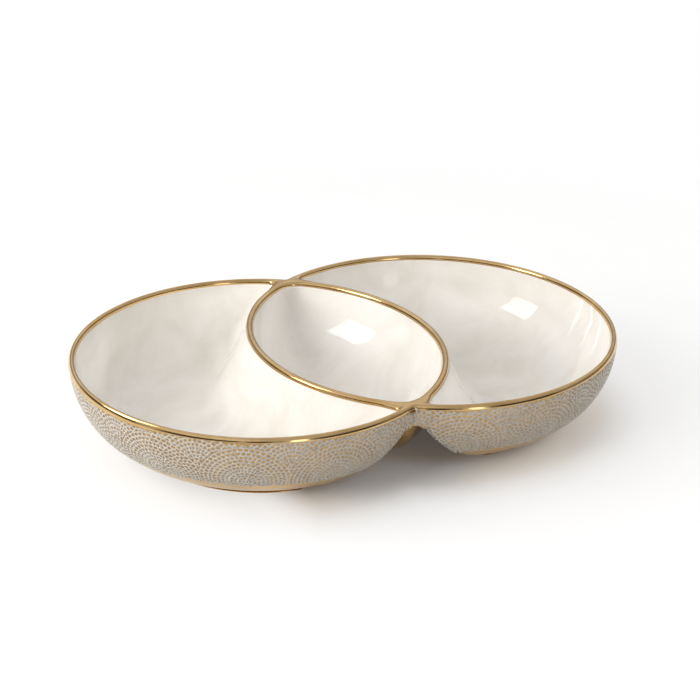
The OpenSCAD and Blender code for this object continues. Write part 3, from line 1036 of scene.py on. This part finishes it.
dark = addNode(t, "ShaderNodeMath", {"operation": "MULTIPLY"}, {},
               {0: rise.outputs["Result"], 1: front.outputs["Result"]})
bright = addNode(t, "ShaderNodeMapRange", eased,
                 {"From Min": room["aroundY"], "From Max": room["behindY"], "To Min": room["around"],
                  "To Max": room["behind"]}, {"Value": parts.outputs["Y"]})
level = addNode(t, "ShaderNodeMix", plainMix, {"B": room["dim"]},
                {"Factor": dark.outputs[0], "A": bright.outputs["Result"]})
ahead = addNode(t, "ShaderNodeMath", {"operation": "MULTIPLY"}, {1: -1.0}, {0: parts.outputs["Y"]})
compass = addNode(t, "ShaderNodeMath", {"operation": "ARCTAN2"}, {}, {0: parts.outputs["X"], 1: ahead.outputs[0]})
turnShare = addNode(t, "ShaderNodeMapRange", {}, {"From Min": -math.pi, "From Max": math.pi},
                    {"Value": compass.outputs[0]})
row = addNode(t, "ShaderNodeValToRGB", {}, {}, {"Fac": turnShare.outputs["Result"]})
stops = row.color_ramp.elements  # the last stop moves first, so that the two keep their order
stops[1].position, stops[0].position = [flags["row"][k][0] / 360 + 0.5 for k in (-1, 0)]
for k, (deg, value) in enumerate(flags["row"]):
    stop = stops[0] if k == 0 else stops[-1] if k == len(flags["row"]) - 1 else stops.new(deg / 360 + 0.5)
    stop.color = (value, value, value, 1.0)
climb = addNode(t, "ShaderNodeMapRange", eased, {"From Min": flags["low"], "From Max": flags["high"]},
                {"Value": parts.outputs["Z"]})
leftShare = addNode(t, "ShaderNodeMapRange", eased, {"From Min": flags["leftFrom"], "From Max": flags["leftTo"]},
                    {"Value": parts.outputs["X"]})
above = addNode(t, "ShaderNodeMix", plainMix, {"B": flags["left"]},
                {"Factor": leftShare.outputs["Result"], "A": bright.outputs["Result"]})
seen = addNode(t, "ShaderNodeMix", plainMix, {},
               {"Factor": climb.outputs["Result"], "A": row.outputs["Color"], "B": above.outputs["Result"]})
ray = addNode(t, "ShaderNodeLightPath")
strength = addNode(t, "ShaderNodeMix", plainMix, {},
                   {"Factor": ray.outputs["Is Glossy Ray"], "A": level.outputs["Result"],
                    "B": seen.outputs["Result"]})
back = addNode(t, "ShaderNodeBackground", {}, {"Color": tone(room["colour"])},
               {"Strength": strength.outputs["Result"]})
addNode(t, "ShaderNodeOutputWorld", {}, {}, {"Surface": back.outputs[0]})

lampColour = "#fefdfd"
lamps = {
    "window": {"at": (-0.53, 0.15, 0.37), "aim": (0.08, 0.06, 0.035), "size": (0.235, 0.30), "power": 1.3},
    "leftHigh": {"at": (-1.3, -0.35, 1.05), "aim": (0, 0, 0.03), "size": (1.3, 1.0), "power": 10.5},
    "leftLow": {"at": (-1.5, -0.3, 0.45), "aim": (0, 0, 0.03), "size": (1.0, 0.6), "power": 10.3},
    "right": {"at": (1.4, -0.2, 0.8), "aim": (0, 0, 0.03), "size": (1.0, 0.8), "power": 6.4},
    "front": {"at": (0.3, -1.5, 0.9), "aim": (0, 0, 0.03), "size": (1.0, 0.8), "power": 4.6},
    "back": {"at": (0.3, 1.5, 0.7), "aim": (0, 0, 0.03), "size": (1.0, 0.8), "power": 3.0},
}
for name, d in lamps.items():
    data = bpy.data.lights.new(name, "AREA")
    data.shape = "RECTANGLE"
    data.size, data.size_y = d["size"]
    data.energy = d["power"]
    data.color = tone(lampColour)[:3]
    lamp = bpy.data.objects.new(name, data)
    lamp.location = d["at"]
    lamp.visible_glossy = name == "window"  # the room stands for the others in reflections
    lamp.rotation_mode = "QUATERNION"
    lamp.rotation_quaternion = (Vector(d["aim"]) - Vector(d["at"])).to_track_quat("-Z", "Y")
    bpy.context.scene.collection.objects.link(lamp)

# a pinhole camera that matches the photograph's rim lines
view = {
    "az": -22.077, "el": 23.597, "distance": 1.49199, "aim": (0, 0, 0.0612),
    "lens": 112.32, "sensor": 36, "shift": (0.005874, -0.01499), "clip": (0.05, 30),
}
az, el = math.radians(view["az"]), math.radians(view["el"])
backV = Vector((math.sin(az) * math.cos(el), -math.cos(az) * math.cos(el), math.sin(el)))
rightV = Vector((math.cos(az), math.sin(az), 0))
cam = bpy.data.objects.new("camera", bpy.data.cameras.new("camera"))
cam.data.lens = view["lens"]
cam.data.sensor_width = view["sensor"]
cam.data.shift_x, cam.data.shift_y = view["shift"]
cam.data.clip_start, cam.data.clip_end = view["clip"]
m = Matrix((rightV, backV.cross(rightV), backV)).transposed().to_4x4()
m.translation = Vector(view["aim"]) + backV * view["distance"]
cam.matrix_world = m
bpy.context.scene.collection.objects.link(cam)
bpy.context.scene.camera = cam
bpy.context.scene.view_settings.view_transform = "Standard"
print("room, lamps and camera set")

stands = {
    "left_bowl": ["left_bowl"], "right_bowl": ["right_bowl"], "centre_dish": ["centre_dish"],
    "dish_underside": ["dish_underside"],
    "left_band": ["left_band"], "right_band": ["right_band"],
    "left_skirt": ["left_skirt", "left_fold"], "right_skirt": ["right_skirt", "right_fold"],
    "left_foot": ["left_foot"], "right_foot": ["right_foot"],
    "lips": ["left_rim", "right_rim", "left_divider", "right_divider", "front_web", "back_web"],
}
for name, obj in pieces.items():
    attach(obj, "root")
    if name in stands:
        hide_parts(*stands[name])
print("pieces in place:", len(pieces))
